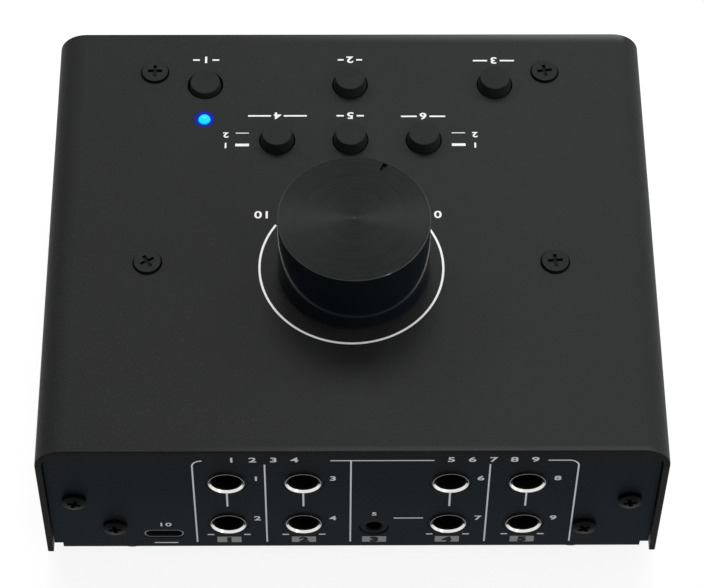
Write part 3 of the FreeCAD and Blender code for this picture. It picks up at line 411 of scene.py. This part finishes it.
def circuit_board():
    """Green solder mask over copper tracks, with a glass-weave edge."""
    board = Finish("green_circuit_board", Metallic=0.0, IOR=1.5)
    pitch = 2.54 * MM
    across = board.math("ABSOLUTE", board.math("FRACT", board.x / pitch) - 0.5)
    along = board.math("ABSOLUTE", board.math("FRACT", board.y / pitch) - 0.5)
    region = board.noise(9.0, 1.0)
    tracks_x = (1.0 - across.ramp(0.1, 0.16)) * region.ramp(0.5, 0.52)
    tracks_y = (1.0 - along.ramp(0.1, 0.16)) * (1.0 - region.ramp(0.46, 0.48))
    tracks = (tracks_x + tracks_y).limited()
    weave = board.noise(0.5, 2.0)
    mask = board.blend((0.004, 0.04, 0.014), (0.008, 0.065, 0.024), weave)
    board.give(
        Base_Color=board.blend(mask, (0.03, 0.15, 0.05), tracks * 0.7),
        Roughness=0.28 + 0.2 * weave,
        Normal=board.bump(tracks * 0.6 + weave * 0.2, 0.03),
    )
    return board.material


def ribbon_vinyl():
    """Grey ribbon cable: one ridge for each conductor, the first one red."""
    vinyl = Finish("grey_ribbon_vinyl", Metallic=0.0)
    cable_edge = -30.0
    wire_pitch = 1.27
    wires = vinyl.math("FRACT", (vinyl.x - cable_edge * MM) / (wire_pitch * MM))
    ridge = vinyl.math("SINE", wires * math.pi)
    first = 1.0 - vinyl.x.ramp_mm(cable_edge + 1.2, cable_edge + 1.3)
    cloud = vinyl.noise(4.0, 3.0)
    grey = vinyl.blend((0.22, 0.22, 0.23), (0.32, 0.32, 0.33), cloud)
    vinyl.give(
        Base_Color=vinyl.blend(grey, (0.35, 0.02, 0.02), first),
        Roughness=0.45 + 0.1 * cloud,
        Normal=vinyl.bump(ridge, 0.35),
    )
    return vinyl.material


def lamp_lens():
    """Lit lens: pale cyan in the middle, deep blue towards the rim."""
    lens = Finish("lit_blue_lens", Metallic=0.0, Roughness=0.25, Specular_IOR_Level=0.2)
    away = lens.radius_from(*LIGHT_PLACE)
    swirl = lens.noise(0.8, 2.0)
    core = 1.0 - (away + swirl * 0.1 * MM).ramp_mm(1.3, 1.65)
    above = lens.z.ramp_mm(CASE_TOP - 1.0, CASE_TOP - 0.1)
    glow = lens.blend((0.005, 0.02, 0.9), (0.0, 0.72, 1.0), core)
    lens.give(
        Base_Color=lens.blend((0.0, 0.01, 0.1), (0.0, 0.03, 0.2), swirl),
        Emission_Color=lens.blend((0.0, 0.0, 0.02), glow, above),
        Emission_Strength=1.0,
    )
    return lens.material


def ink(name, tone, glow=0.0):
    """Screen-printed ink: a thin, slightly uneven film that lies on the coat's grain, with a faint
    painted glow.
    """
    film = Finish(name, Metallic=0.0, Specular_IOR_Level=0.05)
    # Painted light: the ink glows in its own colour, so it stays bright in shade.
    film.give(Emission_Color=tone, Emission_Strength=glow)
    cloud = film.noise(2.5, 3.0)
    grain = film.noise(COAT_GRAIN, 2.0, 0.6)
    film.give(
        Base_Color=film.blend([0.88 * t for t in tone], tone, cloud * 0.7 + grain * 0.3),
        Roughness=0.42 + 0.12 * grain,
        Normal=film.bump(grain, 0.02),
    )
    return film.material


def dress_parts():
    """Gives every solid part the finish whose key is in its name."""
    black_screw = moulded("black_oxide_steel", (0.0028, 0.0034, 0.004), 0.16, 0.3, 0.003, 0.05, 0.028)
    zinc = plated("zinc_plated_steel", (0.55, 0.56, 0.58), 0.3)
    nickel = plated("bright_nickel", (0.78, 0.77, 0.75), 0.12, dirt=0.1, depth_mm=0.001)
    turned = plated("turned_aluminium", (0.6, 0.6, 0.6), 0.28, (0.2, 0.2, 3.0))
    tin = plated("tin_plate", (0.62, 0.62, 0.6), 0.3, (3.0, 0.3, 1.0))
    brass = plated("nickelled_brass", (0.62, 0.58, 0.48), 0.24, (2.0, 2.0, 0.3))
    switch_plastic = moulded("dark_switch_plastic", (0.02, 0.02, 0.021), 0.45)
    cap_plastic = moulded("matte_cap_plastic", (0.0185, 0.0198, 0.0198), 0.36, 0.2, 0.008, gloss=0.02)
    socket_plastic = moulded("socket_plastic", (0.0035, 0.004, 0.0045), 0.34, 0.3, 0.008, gloss=0.045)
    header_plastic = moulded("header_plastic", (0.012, 0.012, 0.012), 0.42)
    nylon = moulded("natural_nylon", (0.62, 0.6, 0.54), 0.38, 0.5, 0.006)
    finishes = {
        "top_cover": cover_finish(),
        "chassis_tray": tray_finish(),
        "volume_knob": knob_finish(),
        "foot_": rubber(),
        "cover_brackets": black_screw,
        "top_screws": low_head_steel(),
        "panel_screws": black_screw,
        "knob_set_screw": black_screw,
        "board_screws": zinc,
        "board_spacers": brass,
        "board_supports": nylon,
        "fixing_block": tin,
        "control_board": circuit_board(),
        "main_board": circuit_board(),
        "potentiometer_shaft": turned,
        "potentiometer_body": plated("cast_zinc", (0.4, 0.4, 0.41), 0.42, dirt=0.4, depth_mm=0.01),
        "potentiometer_nut": nickel,
        "potentiometer_washer": nickel,
        "status_led": lamp_lens(),
        "jack_housing": socket_plastic,
        "mini_jack": socket_plastic,
        "jack_ring": socket_nickel(),
        "usb_shell": plated("usb_nickel", (0.17, 0.175, 0.18), 0.25, (1.0, 0.2, 1.0)),
        "usb_tongue": socket_plastic,
        "wireless_module": tin,
        "ribbon_cable": ribbon_vinyl(),
        "ribbon_header": header_plastic,
        "_button_cap": cap_plastic,
        "_plunger": nylon,
        "_switch": switch_plastic,
    }
    for name, part in parts.items():
        finish = next(f for key, f in finishes.items() if key in name)
        for slot in part.material_slots:
            slot.material = finish


# ---------------------------------------------------------------- printing


TOP = Matrix.Translation((0, 0, CASE_TOP * MM))
REAR = Matrix(((-1, 0, 0, 0), (0, 0, 1, REAR_WALL * MM), (0, 1, 0, 0), (0, 0, 0, 1)))
INK_ABOVE = 0.03
INK_BELOW = 0.02

# A digit's height as a share of its font's size, and the turn of one run of an arc in degrees.
DIGIT_SHARE = 0.72
ARC_STEP = 3


class Print:
    """Ink on one side of the case. Places are millimetres across and up, as its reader sees them."""

    def __init__(self, name, side, finish):
        self.name = name
        self.side = side
        self.finish = finish
        self.mesh = bmesh.new()

    def strip(self, path, width):
        """A line of even width through the points."""
        spots = [Vector(p) for p in path]
        rails = []
        for n, spot in enumerate(spots):
            before = spots[max(n - 1, 0)]
            after = spots[min(n + 1, len(spots) - 1)]
            ahead = (after - before).normalized()
            left = Vector((-ahead.y, ahead.x)) * width / 2
            ring = [spot + left, spot - left]
            rails.append([self.point(p, h) for h in (-INK_BELOW, INK_ABOVE) for p in ring])
        for a, b in zip(rails, rails[1:]):
            for i, j in ((0, 2), (2, 3), (3, 1), (1, 0)):
                self.mesh.faces.new((a[i], a[j], b[j], b[i]))
        for end in (rails[0], rails[-1]):
            self.mesh.faces.new((end[0], end[1], end[3], end[2]))

    def point(self, spot, height):
        return self.mesh.verts.new(Vector((spot.x, spot.y, height)) * MM)

    def arc(self, centre, radius, start, end, width):
        """A round line between two bearings, in degrees from the right, anticlockwise."""
        count = max(6, int(abs(end - start) / ARC_STEP))
        angles = [math.radians(start + (end - start) * n / count) for n in range(count + 1)]
        path = [(centre[0] + radius * math.cos(a), centre[1] + radius * math.sin(a)) for a in angles]
        self.strip(path, width)

    def digits(self, words, place, height, stretch=1.25, weight=0.0):
        """Plain numbers, centred on their place."""
        curve = bpy.data.curves.new("digits", "FONT")
        curve.body = words
        curve.size = height / DIGIT_SHARE
        curve.align_x = "CENTER"
        curve.extrude = (INK_ABOVE + INK_BELOW) / 2
        curve.offset = weight
        curve.space_character = 1.1
        curve.resolution_u = 4
        holder = bpy.data.objects.new("digits", curve)
        bpy.context.collection.objects.link(holder)
        view = bpy.context.evaluated_depsgraph_get()
        flat = bpy.data.meshes.new_from_object(holder.evaluated_get(view))
        rise = (INK_ABOVE - INK_BELOW) / 2
        centre = Matrix.Translation((place[0], place[1] - height / 2, rise))
        flat.transform(Matrix.Scale(MM, 4) @ centre @ Matrix.Diagonal((stretch, 1, 1, 1)))
        self.mesh.from_mesh(flat)
        bpy.data.objects.remove(holder)
        bpy.data.curves.remove(curve)
        bpy.data.meshes.remove(flat)

    def done(self):
        """Lays the ink on its side of the case."""
        bmesh.ops.remove_doubles(self.mesh, verts=self.mesh.verts, dist=0.0002 * MM)
        self.mesh.transform(self.side)
        bmesh.ops.recalc_face_normals(self.mesh, faces=self.mesh.faces)
        keep_piece(self.name, self.mesh, self.finish)


def keep_piece(name, mesh, finish):
    """Turns a finished bmesh into an object that rides on the case."""
    data = bpy.data.meshes.new(name)
    mesh.to_mesh(data)
    mesh.free()
    piece = bpy.data.objects.new(name, data)
    bpy.context.collection.objects.link(piece)
    data.materials.append(finish)
    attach(piece, "case")


# Each button's number, its place, and the length of the dash on either side of it.
BUTTON_MARKS = (
    ("1", 34.2, -50.6, 1.6),
    ("2", 0.0, -50.6, 1.4),
    ("3", -34.2, -50.3, 3.4),
    ("4", 17.1, -33.7, 5.4),
    ("5", 0.0, -33.7, 1.7),
    ("6", -17.1, -33.5, 3.7),
)


DASH_START = 1.5


def print_top(white):
    """Numbers of the buttons, their two positions, and the dial's arc."""
    top = Print("top_print", TOP, white)
    for words, x, y, reach in BUTTON_MARKS:
        top.digits(words, (x, y), 1.9, 1.3, 0.06)
        for side in (-1, 1):
            top.strip([(x + side * DASH_START, y), (x + side * (DASH_START + reach), y)], 0.42)
    for side in (-1, 1):
        for number, y in (("2", -28.0), ("1", -24.9)):
            top.digits(number, (side * 29.1, y), 1.5, 1.3, 0.05)
        top.strip([(side * 23.7, -28.6), (side * 26.8, -28.6)], 0.22)
        top.strip([(side * 23.65, -25.1), (side * 26.85, -25.1)], 0.75)
    top.arc(DIAL_CENTRE, DIAL_RADIUS, -90 + DIAL_HALF_GAP, 270 - DIAL_HALF_GAP, 0.5)
    top.digits("0", (-19.9, -4.9), 2.0, 1.3, 0.06)
    top.digits("10", (20.3, -4.9), 2.0, 1.3, 0.06)
    top.done()


def print_rear(pale):
    """Frames, socket numbers and linking lines on the rear wall."""
    rear = Print("rear_print", REAR, pale)
    line = 0.36
    head = CASE_TOP - 5.6
    foot = CASE_TOP - 41.0
    short_head = head - 1.6
    upper_row = CASE_TOP - 13.1
    lower_row = CASE_TOP - 30.4
    beside = 6.6
    corner = 2.2
    left, right = -35.2, 49.6
    rear.strip([(left, foot), (left, head - corner)], line)
    rear.arc((left + corner, head - corner), corner, 180, 90, line)
    rear.strip([(right, foot), (right, head - corner)], line)
    rear.arc((right - corner, head - corner), corner, 0, 90, line)
    rear.strip([(right - corner, head), (right - corner - 4.6, head)], line)
    rear.strip([(-4.9, head), (17.9, head)], line)
    for x, top in ((-19.3, short_head), (-0.35, head), (30.2, short_head)):
        rear.strip([(x, foot), (x, top)], line)
    for first, start, count in ((1, -26.5, 4), (5, 21.6, 5)):
        for n in range(count):
            rear.digits(str(n + first), (start + 4.6 * n, head + 0.4), 1.9, 1.35, 0.05)
    labels = (("1", "2"), ("3", "4"), ("6", "7"), ("8", "9"))
    for x, (upper, lower) in zip(SOCKET_COLUMNS, labels):
        rear.digits(upper, (beside - x, upper_row), 1.8, 1.3, 0.05)
        rear.digits(lower, (beside - x, lower_row), 1.8, 1.3, 0.05)
        rear.strip([(-x, 27.55), (-x, 21.85)], 0.42)
        for side in (-1, 1):
            rear.strip([(side * 3.4 - x, 9.3), (side * 4.9 - x, 9.3)], 0.4)
    rear.digits("5", (5.0, CASE_TOP - 28.6), 1.35, 1.3, 0.04)
    rear.strip([(9.4, CASE_TOP - 30.5), (16.0, CASE_TOP - 30.5)], line)
    rear.digits("10", (-42.3, CASE_TOP - 33.1), 1.5, 1.4, 0.03)
    rear.strip([(-45.0, 5.7), (-39.6, 5.7)], 0.34)
    rear.done()


# ---------------------------------------------------------------- repeated plates


class Builder:
    """A Geometry Nodes tree in the making."""

    def __init__(self, name, inputs):
        self.tree = bpy.data.node_groups.new(name, "GeometryNodeTree")
        self.ids = {}
        for title, kind in (("Geometry", "NodeSocketGeometry"), *inputs):
            item = self.tree.interface.new_socket(title, in_out="INPUT", socket_type=kind)
            self.ids[title] = item.identifier
        self.tree.interface.new_socket("Geometry", in_out="OUTPUT", socket_type="NodeSocketGeometry")
        self.start = self.node("NodeGroupInput", {})
        self.end = self.node("NodeGroupOutput", {})

    def node(self, kind, settings, **sockets):
        made = self.tree.nodes.new(kind)
        for name, value in settings.items():
            setattr(made, name, value)
        for name, value in sockets.items():
            wanted = name.replace("_", " ")
            socket = next(s for s in made.inputs if s.enabled and s.name == wanted)
            for one in value if isinstance(value, list) else [value]:
                if isinstance(one, bpy.types.NodeSocket):
                    self.tree.links.new(one, socket)
                else:
                    socket.default_value = one
        return made

    def given(self, title):
        return self.start.outputs[title]


def plate_tree():
    """Rounded plates of one size, one at each point of the geometry."""
    floats = ("Width", "Height", "Corner", "Thickness")
    tree = Builder(
        "plates_at_points",
        [(title, "NodeSocketFloat") for title in floats]
        + [("Turn", "NodeSocketRotation"), ("Finish", "NodeSocketMaterial")],
    )
    outline = tree.node(
        "GeometryNodeCurvePrimitiveQuadrilateral",
        {"mode": "RECTANGLE"},
        Width=tree.given("Width"),
        Height=tree.given("Height"),
    )
    rounded = tree.node(
        "GeometryNodeFilletCurve",
        {"mode": "POLY"},
        Curve=outline.outputs[0],
        Count=5,
        Radius=tree.given("Corner"),
        Limit_Radius=True,
    )
    face = tree.node("GeometryNodeFillCurve", {"mode": "NGONS"}, Curve=rounded.outputs[0])
    raised = tree.node(
        "GeometryNodeExtrudeMesh",
        {"mode": "FACES"},
        Mesh=face.outputs[0],
        Offset_Scale=tree.given("Thickness"),
        Individual=False,
    )
    under = tree.node("GeometryNodeFlipFaces", {}, Mesh=face.outputs[0])
    whole = tree.node("GeometryNodeJoinGeometry", {}, Geometry=[under.outputs[0], raised.outputs[0]])
    closed = tree.node("GeometryNodeMergeByDistance", {}, Geometry=whole.outputs[0], Distance=0.0001 * MM)
    copies = tree.node(
        "GeometryNodeInstanceOnPoints",
        {},
        Points=tree.given("Geometry"),
        Instance=closed.outputs[0],
        Rotation=tree.given("Turn"),
    )
    real = tree.node("GeometryNodeRealizeInstances", {}, Geometry=copies.outputs[0])
    painted = tree.node(
        "GeometryNodeSetMaterial", {}, Geometry=real.outputs[0], Material=tree.given("Finish")
    )
    tree.tree.links.new(painted.outputs[0], tree.end.inputs[0])
    return tree


def plates(tree, name, points, finish, turn, **sizes):
    """Runs the plate tree on points in millimetres and keeps the result as a plain mesh."""
    seeds = bpy.data.meshes.new(name + "_points")
    seeds.from_pydata([Vector(p) * MM for p in points], [], [])
    holder = bpy.data.objects.new(name + "_points", seeds)
    bpy.context.collection.objects.link(holder)
    modifier = holder.modifiers.new("Plates", "NODES")
    modifier.node_group = tree.tree
    for title, number in sizes.items():
        modifier[tree.ids[title]] = number * MM
    modifier[tree.ids["Turn"]] = turn
    modifier[tree.ids["Finish"]] = finish
    view = bpy.context.evaluated_depsgraph_get()
    data = bpy.data.meshes.new_from_object(holder.evaluated_get(view))
    holder.modifiers.remove(modifier)
    bpy.data.objects.remove(holder)
    bpy.data.meshes.remove(seeds)
    data.name = name
    piece = bpy.data.objects.new(name, data)
    bpy.context.collection.objects.link(piece)
    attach(piece, "case")


# Turns a flat plate to face out of the rear wall.
TO_REAR = (math.radians(90), 0.0, math.radians(180))
LABEL_COLUMNS = (27.9, 10.9, -5.1, -21.7, -38.8)
LABEL_ROW = CASE_TOP - 39.95
LABEL_SINK = 0.02


def label_boxes(tree, grey):
    """Grey boxes under the sockets of the lower row."""
    points = [(x, REAR_WALL - LABEL_SINK, LABEL_ROW) for x in LABEL_COLUMNS]
    sizes = {"Width": 5.5, "Height": 2.45, "Corner": 0.15, "Thickness": 0.05}
    plates(tree, "label_boxes", points, grey, TO_REAR, **sizes)


def label_numbers(dark):
    """Dark numbers in the grey boxes."""
    on_box = Matrix.Translation((0, 0, 0.035 * MM))
    rear = Print("label_numbers", REAR @ on_box, dark)
    for words, x in zip("12345", LABEL_COLUMNS):
        rear.digits(words, (-x, LABEL_ROW), 1.9, 1.45, 0.2)
    rear.done()


# The middle of the tongue's contacts.
USB_PLACE = (42.67, 54.3, 9.55)
CONTACT_PITCH = 0.5
CONTACT_COUNT = 12
TONGUE_HALF = 0.34


def socket_contacts(tree, gold):
    """Gold contacts on both faces of the USB-C tongue."""
    middle, y, level = USB_PLACE
    across = [middle + CONTACT_PITCH * (n - (CONTACT_COUNT - 1) / 2) for n in range(CONTACT_COUNT)]
    sizes = {"Width": 0.25, "Height": 3.6, "Corner": 0.06, "Thickness": 0.03}
    for name, rise, roll in (("upper", TONGUE_HALF, 0.0), ("lower", -TONGUE_HALF, math.pi)):
        points = [(x, y, level + rise) for x in across]
        plates(tree, "usb_contacts_" + name, points, gold, (roll, 0.0, 0.0), **sizes)


# ---------------------------------------------------------------- floor, lamps, camera


SEEN_RAYS = ("Is Camera Ray", "Is Glossy Ray", "Is Transmission Ray")


def studio_floor():
    """A pale floor that the camera, mirrors and glass see as white away from the shadow."""
    ground = Finish("pale_floor", Roughness=0.85, Specular_IOR_Level=0.1, Emission_Color=(1.0, 1.0, 1.0))
    cloud = ground.noise(60.0, 3.0)
    path = ground.node("ShaderNodeLightPath", {})
    camera_ray, glossy_ray, transmission_ray = (path.signal(kind) for kind in SEEN_RAYS)
    seen = (camera_ray + glossy_ray + transmission_ray).limited()
    ground.give(
        Base_Color=ground.blend((0.19, 0.19, 0.195), (0.22, 0.22, 0.225), cloud),
        Emission_Strength=seen * 0.86,
    )
    data = bpy.data.meshes.new("studio_floor")
    reach = 3.0
    corners = [(-reach, -reach, 0), (reach, -reach, 0), (reach, reach, 0), (-reach, reach, 0)]
    data.from_pydata(corners, [], [(0, 1, 2, 3)])
    data.materials.append(ground.material)
    floor = bpy.data.objects.new("studio_floor", data)
    bpy.context.collection.objects.link(floor)


LAMP_AIM = Vector((0.0, 0.0, 0.04))


def lamp(name, place, size, watts):
    """A rectangular lamp, in metres and watts, turned to the middle of the case."""
    data = bpy.data.lights.new(name, "AREA")
    data.shape = "RECTANGLE"
    data.size, data.size_y = size
    data.energy = watts
    lamp_object = bpy.data.objects.new(name, data)
    bpy.context.collection.objects.link(lamp_object)
    direction = LAMP_AIM - Vector(place)
    turn = direction.to_track_quat("-Z", "Y").to_matrix().to_4x4()
    lamp_object.matrix_world = Matrix.Translation(place) @ turn


def studio_lights():
    """Three soft boxes at the far side, a fill at the right, and a small spot on the camera's side."""
    lamp("far_softbox", (0.0, -0.72, 1.15), (0.45, 0.45), 9.2)
    lamp("far_right_softbox", (-0.65, -0.85, 0.95), (0.35, 0.5), 4.0)
    lamp("far_left_softbox", (0.65, -0.85, 0.95), (0.35, 0.5), 3.2)
    lamp("right_fill", (-1.3, 0.0, 0.55), (1.0, 1.0), 5.0)
    lamp("key_spot", (-0.8, 0.9, 0.76), (0.2, 0.04), 2.0)


WORLD_LIGHT = 0.32


def white_world():
    """A dim sky for the object that the camera, mirrors and glass see as white."""
    world = bpy.data.worlds.new("white_studio")
    bpy.context.scene.world = world
    world.use_nodes = True
    nodes = world.node_tree.nodes
    links = world.node_tree.links
    nodes.clear()
    path = nodes.new("ShaderNodeLightPath")
    seen = path.outputs[SEEN_RAYS[0]]
    for kind in SEEN_RAYS[1:]:
        either = nodes.new("ShaderNodeMath")
        either.operation = "MAXIMUM"
        links.new(seen, either.inputs[0])
        links.new(path.outputs[kind], either.inputs[1])
        seen = either.outputs[0]
    strength = nodes.new("ShaderNodeMapRange")
    links.new(seen, strength.inputs["Value"])
    strength.inputs["To Min"].default_value = WORLD_LIGHT
    strength.inputs["To Max"].default_value = 1.0
    sky = nodes.new("ShaderNodeBackground")
    links.new(strength.outputs[0], sky.inputs["Strength"])
    sky.inputs["Color"].default_value = (1.0, 1.0, 1.0, 1.0)
    output = nodes.new("ShaderNodeOutputWorld")
    links.new(sky.outputs[0], output.inputs["Surface"])


CAMERA_PLACE = Vector((5.30, 384.68, 579.23)) * MM
CAMERA_LENS = 147.16
LOOK_DOWN = math.radians(55.37)
LOOK_ASIDE = math.radians(0.8394)
CAMERA_ROLL = math.radians(0.5721)


def camera():
    """A long lens that looks down on the sockets from behind the case."""
    ahead = Vector(
        (
            -math.sin(LOOK_ASIDE) * math.cos(LOOK_DOWN),
            -math.cos(LOOK_ASIDE) * math.cos(LOOK_DOWN),
            -math.sin(LOOK_DOWN),
        )
    )
    level = ahead.cross(Vector((0, 0, 1))).normalized()
    above = level.cross(ahead)
    right = level * math.cos(CAMERA_ROLL) + above * math.sin(CAMERA_ROLL)
    up = above * math.cos(CAMERA_ROLL) - level * math.sin(CAMERA_ROLL)
    data = bpy.data.cameras.new("camera")
    data.lens = CAMERA_LENS
    data.sensor_width = 36.0
    data.clip_start = 0.05
    data.clip_end = 20.0
    seer = bpy.data.objects.new("camera", data)
    bpy.context.collection.objects.link(seer)
    turn = Matrix((right, up, -ahead)).transposed().to_4x4()
    seer.matrix_world = Matrix.Translation(CAMERA_PLACE) @ turn
    bpy.context.scene.camera = seer


def main():
    """Sets the stage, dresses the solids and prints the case."""
    bpy.context.scene.view_settings.view_transform = "Standard"
    camera()
    studio_floor()
    studio_lights()
    white_world()
    dress_parts()
    print_top(ink("white_ink", (0.78, 0.78, 0.77), 0.2))
    print_rear(ink("pale_ink", (0.8, 0.81, 0.82), 0.18))
    tree = plate_tree()
    label_boxes(tree, ink("grey_ink", (0.4, 0.405, 0.41), 0.1))
    label_numbers(ink("dark_ink", (0.012, 0.013, 0.014)))
    socket_contacts(tree, plated("gold_contact", (0.8, 0.55, 0.2), 0.25))


main()
